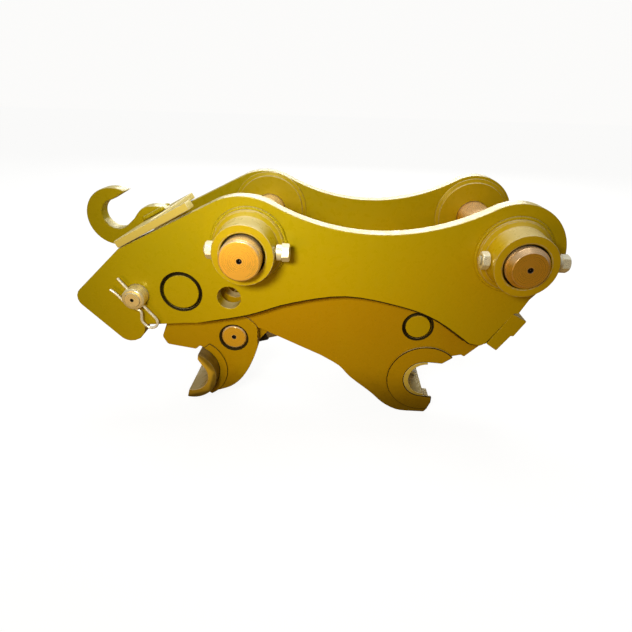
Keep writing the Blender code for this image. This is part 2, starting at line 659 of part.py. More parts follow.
far_face = HALF_WIDTH + 1
safety_profile = [(0, 0), (0, 15.5), (5.5, SAFETY_RADIUS), (PIN_NEAR_END + far_face, SAFETY_RADIUS),
                  (PIN_NEAR_END + far_face, PIN_HEAD), (PIN_NEAR_END + far_face + 8, PIN_HEAD),
                  (PIN_NEAR_END + far_face + 10, PIN_HEAD - 2), (PIN_NEAR_END + far_face + 10, 0)]
safety_pin = turned("safety_pin", safety_profile, (SAFETY[0], -PIN_NEAR_END, SAFETY[1]), (0, 1, 0),
                    PIN_STEEL, pivot=(SAFETY[0], -PIN_NEAR_END, SAFETY[1]))
clip_hole = solid_rod("clip_hole", clip_centre - clip_along * 40, clip_centre + clip_along * 40,
                      CLIP_WIRE + 0.7, BLACK_STEEL, chamfer=0.5, steps=12)
combine(safety_pin, clip_hole, 'DIFFERENCE')


def clip_route():
    """The clip's wire: a straight leg through the pin, a loop, and a leg beside the pin."""
    outside = SAFETY_RADIUS + CLIP_WIRE + 0.6
    route = [(-46, 0), (-20, 0), (10, 0), (36, 0.5), (54, 1)]
    route += [(54 + 13 * math.sin(a), -12 + 13 * math.cos(a))
              for a in (math.radians(d) for d in (36, 72, 108, 144))]
    route += [(52, -25.5), (42, -24), (33, -16), (27, -12.5)]
    route += [(outside * math.cos(a), -outside * math.sin(a))
              for a in (math.radians(d) for d in (42, 58, 74, 90))]
    route += [(-14, -outside - 0.3), (-26, -outside - 1), (-38, -outside - 4)]
    return route


def clip_wire(name, look):
    centres = [clip_centre + clip_along * a + clip_side * b for a, b in smooth(clip_route(), 2)]
    sides = 6
    verts, faces = [], []
    for i, here in enumerate(centres):
        ahead = centres[min(i + 1, len(centres) - 1)] - centres[max(i - 1, 0)]
        across = ahead.normalized().cross(Vector((0, 1, 0)))
        for k in range(sides):
            turn = 2 * math.pi * k / sides
            verts.append(here + (across * math.cos(turn) + Vector((0, 1, 0)) * math.sin(turn))
                         * CLIP_WIRE)
    for i in range(len(centres) - 1):
        for k in range(sides):
            a, b = i * sides + k, i * sides + (k + 1) % sides
            faces.append((a, b, b + sides, a + sides))
    faces += [tuple(range(sides)), tuple(range(len(verts) - sides, len(verts)))]
    return add(name, verts, faces, look, clip_centre)


clip_wire("r_clip", PLATED)
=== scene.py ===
"""Looks for the quick coupler: painted plates, turned pins, plated fasteners and the cylinder."""
import json
import math

import bmesh
import bpy
from mathutils import Matrix, Vector, noise

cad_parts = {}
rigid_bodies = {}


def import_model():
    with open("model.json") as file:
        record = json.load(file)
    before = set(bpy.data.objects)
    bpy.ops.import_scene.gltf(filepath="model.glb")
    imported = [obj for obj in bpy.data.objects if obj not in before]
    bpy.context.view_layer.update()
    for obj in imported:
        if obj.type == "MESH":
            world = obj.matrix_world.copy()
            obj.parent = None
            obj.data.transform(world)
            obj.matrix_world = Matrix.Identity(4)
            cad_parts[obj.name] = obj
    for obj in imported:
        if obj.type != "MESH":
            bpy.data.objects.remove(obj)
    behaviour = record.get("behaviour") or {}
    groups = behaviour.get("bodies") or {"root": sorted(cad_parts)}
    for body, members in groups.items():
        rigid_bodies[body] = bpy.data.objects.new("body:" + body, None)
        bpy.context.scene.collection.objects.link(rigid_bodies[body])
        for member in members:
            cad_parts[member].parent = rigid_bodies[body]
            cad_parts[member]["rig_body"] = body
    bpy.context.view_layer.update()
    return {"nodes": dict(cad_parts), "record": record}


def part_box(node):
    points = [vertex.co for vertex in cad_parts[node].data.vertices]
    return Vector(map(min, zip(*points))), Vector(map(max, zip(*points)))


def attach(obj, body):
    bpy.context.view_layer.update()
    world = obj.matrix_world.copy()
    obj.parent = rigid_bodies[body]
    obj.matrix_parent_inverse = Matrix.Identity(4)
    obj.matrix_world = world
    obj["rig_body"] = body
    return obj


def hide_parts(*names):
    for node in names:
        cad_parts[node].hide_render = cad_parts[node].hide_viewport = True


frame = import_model()


# Upper side plates ---------------------------------------------------------------------------
# Two plates of 30 mm steel, flame cut to one outline and welded over the lower plates. They
# are sprayed with a thick ochre enamel, paler along the corners for wear and painted highlight.

MM = 0.001
SIDES = (("right", -1), ("left", 1))


def add_node(tree, kind, inputs=None, **settings):
    """Adds a shader node, sets it up, and links or sets its inputs."""
    made = tree.nodes.new(kind)
    for key, value in settings.items():
        setattr(made, key, value)
    for key, value in (inputs or {}).items():
        if isinstance(value, bpy.types.NodeSocket):
            tree.links.new(value, made.inputs[key])
        else:
            made.inputs[key].default_value = value
    return made


def new_group(name, inputs, outputs):
    """An empty node group; inputs and outputs map socket names to kinds."""
    tree = bpy.data.node_groups.new(name, "ShaderNodeTree")
    for names, side in ((inputs, "INPUT"), (outputs, "OUTPUT")):
        for socket, kind in names.items():
            tree.interface.new_socket(socket, in_out=side, socket_type="NodeSocket" + kind)
    return tree, tree.nodes.new("NodeGroupInput").outputs, tree.nodes.new("NodeGroupOutput").inputs


def sized_noise(tree, scale, detail=2.0, shift=0.0, stretch=(1, 1, 1)):
    """A noise that stays on the piece; scale is patches per metre."""
    place = add_node(tree, "ShaderNodeTexCoord").outputs["Object"]
    spread = add_node(tree, "ShaderNodeMapping", {"Vector": place, "Location": (shift, shift, shift),
                                                  "Scale": stretch})
    return add_node(tree, "ShaderNodeTexNoise",
                    {"Vector": spread.outputs[0], "Scale": scale, "Detail": detail}).outputs["Fac"]


def ramp(tree, value, low, high, start=0.0, end=1.0):
    return add_node(tree, "ShaderNodeMapRange",
                    {"Value": value, "From Min": low, "From Max": high, "To Min": start,
                     "To Max": end}, interpolation_type="SMOOTHSTEP").outputs["Result"]


def sums(tree, operation, a, b):
    return add_node(tree, "ShaderNodeMath", {0: a, 1: b}, operation=operation).outputs[0]


def blended(tree, share, a, b):
    return add_node(tree, "ShaderNodeMix", {0: share, 6: a, 7: b}, data_type="RGBA").outputs[2]


def top_highlight(tree, low, high, most):
    """Painted highlight: how much a surface is paled, more on those that face up."""
    facing = add_node(tree, "ShaderNodeNewGeometry").outputs["Normal"]
    upward = add_node(tree, "ShaderNodeSeparateXYZ", {0: facing}).outputs[2]
    return ramp(tree, upward, low, high, 0.0, most)


TOP_HIGHLIGHT_TONE = (0.720, 0.640, 0.380, 1)
LOW_SHADE = (0.105, 0.060, 0.002, 1)


def enamel_group():
    """Sprayed enamel: a random fade, painted light towards the top and the tail, painted shade near
    the ground, a painted highlight where it faces up, paler corners for wear and painted highlight,
    soiling specks, dark grooves with painted shade at the step and the ring rims, and a fine orange peel."""
    tree, inside, out = new_group(
        "sprayed enamel",
        {"Paint": "Color", "Faded and lit": "Color", "Worn and highlit": "Color", "Dirt and shade": "Color", "Wear": "Float"},
        {"Colour": "Color", "Roughness": "Float", "Height": "Float"})
    edge = add_node(tree, "ShaderNodeAttribute", attribute_name="edge").outputs["Fac"]
    groove_dirt_and_shade = add_node(tree, "ShaderNodeAttribute", attribute_name="groove_dirt_and_shade").outputs["Fac"]
    fade_and_painted_light = ramp(tree, sized_noise(tree, 3.5, 3.0), 0.35, 0.68)
    dust = sized_noise(tree, 70.0, 4.0, 3.0)
    chips = sized_noise(tree, 190.0, 4.0, 7.0)
    place = add_node(tree, "ShaderNodeTexCoord").outputs["Object"]
    parts = add_node(tree, "ShaderNodeSeparateXYZ", {0: place}).outputs
    # painted light: the second tone grows towards the top and the tail
    lit_towards_top_and_tail = sums(tree, "SUBTRACT", parts[2], sums(tree, "MULTIPLY", parts[0], 0.35))
    lit_towards_top_and_tail = ramp(tree, lit_towards_top_and_tail, 0.16, 0.46)
    fade_and_painted_light = sums(tree, "ADD", sums(tree, "MULTIPLY", fade_and_painted_light, 0.25), sums(tree, "MULTIPLY", lit_towards_top_and_tail, 0.75))
    colour = blended(tree, fade_and_painted_light, inside["Paint"], inside["Faded and lit"])
    streaks = ramp(tree, sized_noise(tree, 26.0, 4.0, 5.0, (1, 1, 0.25)), 0.5, 0.85, 0.0, 0.25)
    colour = blended(tree, streaks, colour, inside["Faded and lit"])
    # painted shade: darker towards the ground
    ragged = sums(tree, "ADD", parts[2], sums(tree, "MULTIPLY", dust, 0.03))
    shade_near_ground = ramp(tree, ragged, 0.02, 0.13, 0.80, 0.0)
    colour = blended(tree, shade_near_ground, colour, LOW_SHADE)
    # painted highlight: paler where the surface faces up
    colour = blended(tree, top_highlight(tree, 0.55, 1.0, 0.55), colour, TOP_HIGHLIGHT_TONE)
    # paler along the corners: wear and painted highlight
    worn_and_highlit = sums(tree, "MULTIPLY", edge, inside["Wear"])
    worn_and_highlit = ramp(tree, sums(tree, "ADD", worn_and_highlit, chips), 0.85, 1.25)
    colour = blended(tree, worn_and_highlit, colour, inside["Worn and highlit"])
    speckle = ramp(tree, chips, 0.70, 0.78, 0.0, 0.25)
    colour = blended(tree, speckle, colour, inside["Dirt and shade"])
    # dark marks: soiling in the grooves, and painted shade along the step and the ring rims
    dirt_and_shade_mask = ramp(tree, sums(tree, "ADD", groove_dirt_and_shade, sums(tree, "MULTIPLY", dust, 0.1)), 0.12, 0.40)
    colour = blended(tree, dirt_and_shade_mask, colour, inside["Dirt and shade"])
    tree.links.new(colour, out["Colour"])
    rough = ramp(tree, dust, 0.3, 0.75, 0.24, 0.42)
    rough = sums(tree, "ADD", rough, sums(tree, "MULTIPLY", worn_and_highlit, 0.12))
    tree.links.new(sums(tree, "ADD", rough, sums(tree, "MULTIPLY", dirt_and_shade_mask, 0.35)), out["Roughness"])
    peel = sums(tree, "MULTIPLY", sized_noise(tree, 620.0, 1.0, 11.0), 0.25)
    wave = sums(tree, "MULTIPLY", sized_noise(tree, 16.0, 2.0, 13.0), 1.0)
    height = sums(tree, "ADD", peel, wave)
    height = sums(tree, "SUBTRACT", height, sums(tree, "MULTIPLY", worn_and_highlit, 0.35))
    tree.links.new(height, out["Height"])
    return tree


ENAMEL = enamel_group()


def enamel(name, paint, faded_and_lit, dirt_and_shade=(0.012, 0.006, 0.001), wear=0.45, bump=0.3):
    material = bpy.data.materials.new(name)
    material.use_nodes = True
    tree = material.node_tree
    shader = tree.nodes["Principled BSDF"]
    coat = add_node(tree, "ShaderNodeGroup", node_tree=ENAMEL)
    # a paler tone for the corners: wear and painted highlight
    worn_and_highlit = tuple(0.6 * c + 0.25 for c in paint)
    for socket, value in (("Paint", paint), ("Faded and lit", faded_and_lit), ("Worn and highlit", worn_and_highlit), ("Dirt and shade", dirt_and_shade)):
        coat.inputs[socket].default_value = (*value, 1)
    coat.inputs["Wear"].default_value = wear
    tree.links.new(coat.outputs["Colour"], shader.inputs["Base Color"])
    tree.links.new(coat.outputs["Roughness"], shader.inputs["Roughness"])
    relief = add_node(tree, "ShaderNodeBump", {"Height": coat.outputs["Height"], "Strength": bump,
                                               "Distance": 0.6 * MM})
    tree.links.new(relief.outputs[0], shader.inputs["Normal"])
    shader.inputs["Specular IOR Level"].default_value = 0.42
    shader.inputs["Specular Tint"].default_value = (1.0, 0.86, 0.35, 1)
    return material


OCHRE = (0.560, 0.355, 0.001)
# the second tone is also painted light towards the top and the tail
FADED_AND_LIT_OCHRE = (0.450, 0.360, 0.002)
plate_enamel = enamel("plate_enamel", OCHRE, FADED_AND_LIT_OCHRE)

CREASE = math.radians(30)


def marked(work, faces, layer):
    """Marks the crest of a rounded strip, so that the paler corner tone and the dark marks stay inside the
    strip.
    """
    strip = set(faces)
    for vert in {v for f in strip for v in f.verts}:
        if all(f in strip for f in vert.link_faces):
            vert[layer] = 1.0


def finish_mesh(name, work, material, body):
    """Turns the working mesh into a smooth shaded piece that rides on its body."""
    mesh = bpy.data.meshes.new(name)
    work.to_mesh(mesh)
    work.free()
    mesh.shade_smooth()
    mesh.set_sharp_from_angle(angle=math.radians(42))
    mesh.materials.append(material)
    piece = bpy.data.objects.new(name, mesh)
    bpy.context.collection.objects.link(piece)
    even = piece.modifiers.new("even shading", "WEIGHTED_NORMAL")
    even.keep_sharp = True
    even.weight = 100
    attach(piece, body)
    return piece


def body_of(node):
    return frame["nodes"][node]["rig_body"]


def slot_of(node):
    return next(s["material_slot"] for s in frame["record"]["subparts"] if s["node"] == node)


def shaped(node, material, edge=1.6, deep=None, deep_edge=3.2):
    """A piece cut from plate: its solid with flat faces merged and corners rounded. Corners
    that deep(point) picks are cut wider and marked dark, for grooves and for painted shade."""
    source = frame["nodes"][node].data
    bare = bpy.data.meshes.new(node)
    bare.from_pydata([v.co for v in source.vertices], [], [p.vertices for p in source.polygons])
    work = bmesh.new()
    work.from_mesh(bare)
    bmesh.ops.remove_doubles(work, verts=work.verts, dist=0.02 * MM)
    bmesh.ops.dissolve_limit(work, angle_limit=math.radians(0.3), verts=work.verts,
                             edges=work.edges)
    bmesh.ops.recalc_face_normals(work, faces=work.faces)
    wear_and_highlight_layer = work.verts.layers.float.new("edge")
    groove_and_shade_layer = work.verts.layers.float.new("groove_dirt_and_shade")
    left_over = work.edges.layers.int.new("left over")

    def corners():
        return [e for e in work.edges if len(e.link_faces) == 2 and e.calc_face_angle(0) > CREASE]

    def rounding(edges, width, layer):
        made = bmesh.ops.bevel(work, geom=edges, offset=width * MM, offset_type="OFFSET",
                               segments=2, profile=0.5, affect="EDGES", clamp_overlap=False,
                               material=-1)
        marked(work, made["faces"], layer)

    chosen = [e for e in corners() if deep and deep((e.verts[0].co + e.verts[1].co) / 2)]
    for e in set(corners()) - set(chosen):
        e[left_over] = 1
    if chosen:
        rounding(chosen, deep_edge, groove_and_shade_layer)
    rounding([e for e in corners() if e[left_over]], edge, wear_and_highlight_layer)
    piece = finish_mesh(node + "_piece", work, material, body_of(node))
    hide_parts(node)
    return piece


def middle(node):
    low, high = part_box(node)
    return (low + high) / 2


def on_rim(node, radius):
    """True for points on a circle of that radius (mm) round the node's axis along Y."""
    centre = middle(node)
    return lambda p: abs(math.hypot(p.x - centre.x, p.z - centre.z) - radius * MM) < 1.2 * MM


TUBE_RADIUS = 36.5
FLUSH_CHAMFER = 4.2        # chamfer on both sides of the dark ring round a flush end
bar_low, bar_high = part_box("front_cross_bar")


STEP_START, STEP_END = -0.180, 0.345       # the step over the lower plate, along X
STEP_TOP = 0.320
STEP_FACE = 0.150                          # only the outer corner of the step is painted dark: painted shadow of the step
LOCK_HOLE = (-0.1365, 0.266)
AROUND_HOLE = 0.030


def upper_grooves_and_step_shadow(p):
    """Dark corners: the disc of the cross tube, the joint with the front bar, and the step over the lower
    plate, where the dark is painted shadow.
    """
    by_bar = (bar_low.x - 0.003 < p.x < bar_low.x + 0.040
              and bar_low.z + 0.010 < p.z < bar_high.z + 0.004)
    by_hole = math.dist((p.x, p.z), LOCK_HOLE) < AROUND_HOLE
    in_step_shadow = (STEP_START < p.x < STEP_END and p.z < STEP_TOP and abs(p.y) > STEP_FACE
               and not by_hole)
    return on_rim("rear_cross_tube", TUBE_RADIUS)(p) or by_bar or in_step_shadow


for side, sign in SIDES:
    shaped("upper_plate_" + side, plate_enamel, edge=2.2, deep=upper_grooves_and_step_shadow,
           deep_edge=FLUSH_CHAMFER)


# Weld seams ----------------------------------------------------------------------------------
# Fillet welds join the plates, the bosses and the lifting hook. Each is a run of small
# overlapping ripples, sprayed over with the same enamel. The seam under the step is painted
# dark as the step's shadow.

seam_enamel = enamel("seam_enamel", OCHRE, FADED_AND_LIT_OCHRE, wear=0.5, bump=0.8)
# dark enamel for the seam under the step: painted shadow
step_shadow_enamel = enamel("step_shadow_enamel", (0.170, 0.075, 0.001), (0.150, 0.075, 0.001), wear=0.15, bump=0.8)


def resampled(path, step, closed):
    points = [Vector(p) for p in path] + ([Vector(path[0])] if closed else [])
    lengths = [(b - a).length for a, b in zip(points, points[1:])]
    total = sum(lengths)
    count = max(8, int(total / step))
    made = []
    index, walked = 0, 0.0
    for i in range(count + (0 if closed else 1)):
        goal = total * i / count
        while index < len(lengths) - 1 and walked + lengths[index] < goal:
            walked += lengths[index]
            index += 1
        share = (goal - walked) / lengths[index]
        made.append(points[index].lerp(points[index + 1], share))
    return made


def weld(name, path, radius, body="frame", closed=False, ripple=4.2, grown=None, look=None):
    """A rippled bead along a path in a plane across Y, its radius (mm) growing to grown."""
    step = ripple / 4 * MM
    centres = resampled(path, step, closed)
    count = len(centres)
    sides = 10
    work = bmesh.new()
    work.verts.layers.float.new("groove_dirt_and_shade")
    wear_and_highlight_layer = work.verts.layers.float.new("edge")
    rows = []
    for i, here in enumerate(centres):
        ahead = centres[(i + 1) % count] if closed or i < count - 1 else here
        behind = centres[i - 1] if closed or i > 0 else here
        across = (ahead - behind).normalized().cross(Vector((0, 1, 0)))
        crest = (i % 4) / 3
        swell = noise.noise(here * 180) * 0.10
        size = radius + ((grown or radius) - radius) * i / count
        reach = size * MM * (0.92 + 0.13 * math.sin(math.pi * crest) + swell)
        if not closed:
            reach *= min(1.0, 0.35 + min(i, count - 1 - i) * 0.16)
        row = []
        for k in range(sides):
            turn = 2 * math.pi * k / sides
            spot = across * math.cos(turn) + Vector((0, 1, 0)) * math.sin(turn)
            row.append(work.verts.new(here + spot * reach))
            # ripple crests take the paler corner tone: wear and painted highlight
            row[-1][wear_and_highlight_layer] = 0.45 * crest
        rows.append(row)
    pairs = list(zip(rows, rows[1:])) + ([(rows[-1], rows[0])] if closed else [])
    for low, high in pairs:
        for k in range(sides):
            j = (k + 1) % sides
            work.faces.new((low[k], low[j], high[j], high[k]))
    if not closed:
        work.faces.new(rows[0][::-1])
        work.faces.new(rows[-1])
    bmesh.ops.recalc_face_normals(work, faces=work.faces)
    return finish_mesh(name, work, look or seam_enamel, body)


def ring_path(centre, radius, y, steps=72):
    """A circle of that radius (mm) round a line along Y."""
    return [Vector((centre.x + radius * MM * math.cos(2 * math.pi * i / steps), y,
                    centre.z + radius * MM * math.sin(2 * math.pi * i / steps)))
            for i in range(steps)]


def lower_rim(node, start, end):
    """The downward rim of a plate between two places along X, from left to right."""
    mesh = frame["nodes"][node].data
    found = {}
    for face in mesh.polygons:
        if face.normal.z < -0.35 and abs(face.normal.y) < 0.1:
            for v in face.vertices:
                spot = mesh.vertices[v].co
                if start < spot.x < end:
                    found[round(spot.x, 4)] = spot.z
    return sorted(found.items())


LOWER_FACE = abs(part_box("lower_plate_right")[0].y)
SEAM_START, SEAM_END = -0.090, 0.342
for side, sign in SIDES:
    rim = lower_rim("upper_plate_" + side, SEAM_START, SEAM_END)
    # the seam under the step is painted dark as the step's shadow
    weld("plate_seam_" + side,
         [Vector((x, sign * (LOWER_FACE + 1.0 * MM), z - 1.0 * MM)) for x, z in rim], 2.6, grown=8.0,
         look=step_shadow_enamel)
    for pin in ("stick", "link"):
        centre = middle(pin + "_pin")
        plate_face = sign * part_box("upper_plate_left")[1].y
        weld("%s_boss_seam_%s" % (pin, side),
             ring_path(centre, 65.5, plate_face + sign * 1.0 * MM), 3.6, closed=True)


# Lower side plates, jaw rings and the fixed jaw ------------------------------------------------
# 25 mm plates set inside the upper ones, ending in the fixed jaw, with a raised ring round each
# jaw. A half-round liner takes the bucket's front pin, and the saddle behind ties the plates.

ANCHOR_RADIUS = 27.5
ANCHOR_CHAMFER = 4.4
jaw_enamel = enamel("jaw_enamel", (0.500, 0.265, 0.001), (0.520, 0.330, 0.002))
liner_enamel = enamel("liner_enamel", (0.760, 0.560, 0.090), (0.640, 0.430, 0.050), wear=0.9)

for side, sign in SIDES:
    shaped("lower_plate_" + side, jaw_enamel, edge=2.0,
           deep=on_rim("cylinder_anchor_pin", ANCHOR_RADIUS), deep_edge=ANCHOR_CHAMFER)
    # every corner of a ring is painted dark: painted shade outlining its rims
    shaped("jaw_ring_" + side, jaw_enamel, deep=lambda p: True, deep_edge=1.8)
shaped("fixed_jaw_liner", liner_enamel, edge=1.2)
shaped("fixed_jaw_saddle", jaw_enamel, edge=1.5)


# Turned pieces: bosses and inner rings ----------------------------------------------------------
# Each pin passes through a turned steel boss, welded to the outside of the plate, and a flat
# ring inside it. Both are sprayed with the plates.

def softened(points, size, closed=False):
    """Rounds the corners of a turned profile and marks their crests for the paler tone of wear and painted
    highlight. A third value above 0 marks the row dark, as grooves.
    """
    rows = []
    count = len(points)
    for i, (along, radius, *mark) in enumerate(points):
        groove_dirt_and_shade = mark[0] if mark else 0.0
        here = Vector((along, radius))
        if not closed and i in (0, count - 1):
            rows.append((along, radius, 0.0, groove_dirt_and_shade))
            continue
        before = Vector(points[i - 1][:2]) - here
        after = Vector(points[(i + 1) % count][:2]) - here
        back = min(size, 0.45 * before.length)
        on = min(size, 0.45 * after.length)
        start = here + before.normalized() * back
        end = here + after.normalized() * on
        crest = here * 0.5 + (start + end) * 0.25
        rows += [(*start, 0.0, groove_dirt_and_shade), (*crest, 0.0 if groove_dirt_and_shade else 1.0, groove_dirt_and_shade), (*end, 0.0, groove_dirt_and_shade)]
    return rows


def lathe(name, material, base, axis, rows, body, slot, steps=96, closed=False):
    """A turned piece: rows of (distance, radius, edge, groove) in mm spun about a line. A
    radius may be a function of the angle."""
    base, axis = Vector(base), Vector(axis).normalized()
    side = axis.orthogonal().normalized()
    up = axis.cross(side)
    work = bmesh.new()
    wear_and_highlight_layer = work.verts.layers.float.new("edge")
    groove_and_shade_layer = work.verts.layers.float.new("groove_dirt_and_shade")
    rings = []
    for along, radius, worn, groove_dirt_and_shade in rows:
        if radius == 0:
            tip = work.verts.new(base + axis * along * MM)
            tip[groove_and_shade_layer] = groove_dirt_and_shade
            rings.append([tip] * steps)
            continue
        ring = []
        for i in range(steps):
            turn = 2 * math.pi * i / steps
            reach = (radius(turn) if callable(radius) else radius) * MM
            spot = base + axis * along * MM + (side * math.cos(turn) + up * math.sin(turn)) * reach
            ring.append(work.verts.new(spot))
            ring[-1][wear_and_highlight_layer] = worn
            ring[-1][groove_and_shade_layer] = groove_dirt_and_shade
        rings.append(ring)
    pairs = list(zip(rings, rings[1:])) + ([(rings[-1], rings[0])] if closed else [])
    for low, high in pairs:
        for i in range(steps):
            j = (i + 1) % steps
            corner = list(dict.fromkeys((low[i], low[j], high[j], high[i])))
            work.faces.new(corner)
    bmesh.ops.recalc_face_normals(work, faces=work.faces)
    return finish_mesh(name, work, material, body)


def turned(node, material, base, axis, rows, **more):
    piece = lathe(node + "_piece", material, base, axis, rows, body_of(node), slot_of(node), **more)
    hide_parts(node)
    return piece


boss_enamel = enamel("boss_enamel", (0.580, 0.360, 0.003), (0.520, 0.385, 0.006), wear=0.7)
PIN_RADIUS = 35
plate_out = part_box("upper_plate_left")[1].y
plate_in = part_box("upper_plate_left")[0].y

for pin in ("stick", "link"):
    centre = middle(pin + "_pin")
    for side, sign in SIDES:
        boss_low, boss_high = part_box("%s_boss_%s" % (pin, side))
        reach = (boss_high.y - boss_low.y) / MM
        face = Vector((centre.x, sign * (plate_out + 0.3 * MM), centre.z))
        profile = [(0, PIN_RADIUS + 0.4), (0, 64), (6.5, 64), (9, 61.5), (15, 54.6),
                   (reach, 52.6), (reach, PIN_RADIUS + 5, 0.0), (reach - 5, PIN_RADIUS + 0.4, 1.0)]
        turned("%s_boss_%s" % (pin, side), boss_enamel, face, (0, sign, 0),
               softened(profile, 1.6, closed=True), closed=True)
        inner = Vector((centre.x, sign * (plate_in - 0.3 * MM), centre.z))
        profile = [(0, PIN_RADIUS + 0.4), (0, 83), (4.5, 83), (6.5, 75), (12, 75),
                   (12, PIN_RADIUS + 0.4)]
        turned("%s_inner_ring_%s" % (pin, side), boss_enamel, inner, (0, -sign, 0),
               softened(profile, 1.2, closed=True), closed=True)


# Stick pin, link pin and pivot pin --------------------------------------------------------------
# 70 mm pins turned from bar, with a yellow passivated finish and a centre hole in each end. The
# link pin is duller, with a longer lead-in and two marking grooves. The pivot pin is 50 mm.

def turned_steel_group():
    """Turned steel: fine tool lines round the axis, stains, painted highlights on the corners and the
    up-facing sides, dark grooves.
    """
    tree, inside, out = new_group(
        "turned steel",
        {"Metal": "Color", "Stain": "Color", "Bright": "Color", "Dirt and shade": "Color",
         "Axis point": "Vector"},
        {"Colour": "Color", "Roughness": "Float", "Height": "Float"})
    edge = add_node(tree, "ShaderNodeAttribute", attribute_name="edge").outputs["Fac"]
    groove_dirt_and_shade = add_node(tree, "ShaderNodeAttribute", attribute_name="groove_dirt_and_shade").outputs["Fac"]
    place = add_node(tree, "ShaderNodeTexCoord").outputs["Object"]
    offset = add_node(tree, "ShaderNodeVectorMath", {0: place, 1: inside["Axis point"]},
                      operation="SUBTRACT").outputs[0]
    parts = add_node(tree, "ShaderNodeSeparateXYZ", {0: offset}).outputs
    squares = sums(tree, "ADD", sums(tree, "MULTIPLY", parts[0], parts[0]),
                   sums(tree, "MULTIPLY", parts[2], parts[2]))
    radius = sums(tree, "SQRT", squares, 0.0)
    lines_at = add_node(tree, "ShaderNodeCombineXYZ", {0: radius, 1: parts[1], 2: 0.0}).outputs[0]
    lines = add_node(tree, "ShaderNodeTexNoise",
                     {"Vector": lines_at, "Scale": 1600.0, "Detail": 2.0}).outputs["Fac"]
    stain = ramp(tree, sized_noise(tree, 28.0, 4.0, 2.0), 0.40, 0.75)
    colour = blended(tree, sums(tree, "MULTIPLY", stain, 0.3), inside["Metal"], inside["Stain"])
    # painted highlight on the corners and where the surface faces up
    edge_highlight = sums(tree, "MULTIPLY", edge, 0.7)
    colour = blended(tree, edge_highlight, colour, inside["Bright"])
    colour = blended(tree, top_highlight(tree, 0.05, 0.6, 1.0), colour, inside["Bright"])
    dark = ramp(tree, groove_dirt_and_shade, 0.25, 0.8)
    tree.links.new(blended(tree, dark, colour, inside["Dirt and shade"]), out["Colour"])
    rough = sums(tree, "ADD", ramp(tree, lines, 0.3, 0.7, 0.20, 0.30),
                 sums(tree, "MULTIPLY", stain, 0.12))
    tree.links.new(sums(tree, "ADD", rough, sums(tree, "MULTIPLY", dark, 0.4)), out["Roughness"])
    tree.links.new(lines, out["Height"])
    return tree


TURNED = turned_steel_group()


def turned_steel(name, metal, stain, axis_point=(0, 0, 0), metallic=1.0, coat=0.0):
    material = bpy.data.materials.new(name)
    material.use_nodes = True
    tree = material.node_tree
    shader = tree.nodes["Principled BSDF"]
    skin = add_node(tree, "ShaderNodeGroup", node_tree=TURNED)
    # a paler tone for the painted highlights
    highlight = tuple(min(1.0, 0.72 * c + 0.34) for c in metal)
    for socket, value in (("Metal", metal), ("Stain", stain), ("Bright", highlight),
                          ("Dirt and shade", (0.012, 0.007, 0.003))):
        skin.inputs[socket].default_value = (*value, 1)
    skin.inputs["Axis point"].default_value = axis_point
    tree.links.new(skin.outputs["Colour"], shader.inputs["Base Color"])
    tree.links.new(skin.outputs["Roughness"], shader.inputs["Roughness"])
    relief = add_node(tree, "ShaderNodeBump", {"Height": skin.outputs["Height"], "Strength": 0.25,
                                               "Distance": 0.05 * MM})
    tree.links.new(relief.outputs[0], shader.inputs["Normal"])
    shader.inputs["Metallic"].default_value = metallic
    shader.inputs["Coat Weight"].default_value = coat
    shader.inputs["Coat Roughness"].default_value = 0.12
    return material


GOLD = (0.980, 0.560, 0.080)
GOLD_STAIN = (0.850, 0.420, 0.050)
DULL_GOLD = (0.860, 0.440, 0.030)
CENTRE_HOLE = 4.4          # radius of the centre hole drilled in each pin's ends
HOLE_DEPTH = 9


def pin_end(radius, lead, grooves=()):
    """Half of a pin's profile: centre hole, flat end, lead-in, then any turned grooves."""
    run = lead if lead < 3 else 1.4 * lead
    end = [(HOLE_DEPTH, 0, 1.0), (HOLE_DEPTH - 2, CENTRE_HOLE - 1.2, 1.0),
           (1.2, CENTRE_HOLE - 1.2, 1.0), (0, CENTRE_HOLE, 1.0), (0, CENTRE_HOLE + 0.7, 0.0),
           (0, radius - lead), (run, radius)]
    for start, width in grooves:
        end += [(start, radius), (start + 0.2, radius - 1.3, 1.0),
                (start + width - 0.2, radius - 1.3, 1.0), (start + width, radius)]
    return end


def pin_rows(length, radius, lead, grooves=()):
    half = pin_end(radius, lead, grooves)
    other = [(length - along, reach, *mark) for along, reach, *mark in reversed(half)]
    return softened(half + other, 0.6)


for pin, lead, grooves in (("stick", 2.4, ()), ("link", 6.5, ((10.6, 1.7), (14.0, 1.7)))):
    centre = middle(pin + "_pin")
    low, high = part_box(pin + "_pin")
    metal = turned_steel(pin + "_pin_steel", GOLD if pin == "stick" else DULL_GOLD, GOLD_STAIN, centre,
                         metallic=0.6, coat=0.3)
    turned(pin + "_pin", metal, (centre.x, low.y, centre.z), (0, 1, 0),
           pin_rows((high.y - low.y) / MM, PIN_RADIUS, lead, grooves), steps=128)

PIVOT_RADIUS = 24.95
pivot = middle("pivot_pin")
low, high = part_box("pivot_pin")
pivot_steel = turned_steel("pivot_pin_steel", (0.80, 0.42, 0.02), GOLD_STAIN, pivot, metallic=0.2,
                           coat=0.2)
turned("pivot_pin", pivot_steel, (pivot.x, low.y, pivot.z), (0, 1, 0),
       pin_rows((high.y - low.y) / MM, PIVOT_RADIUS, 2.0))


# Retention bolts -------------------------------------------------------------------------------
# A plated M16 bolt goes across each boss and pin, with a turned spacer under its head and a nut
# at the rear.

zinc = turned_steel("gold_zinc", (0.960, 0.860, 0.560), (0.760, 0.600, 0.280), metallic=0.4, coat=0.8)
HEX_HALF = 13.5
THREAD_RADIUS = 8
THREAD_PITCH = 2.0


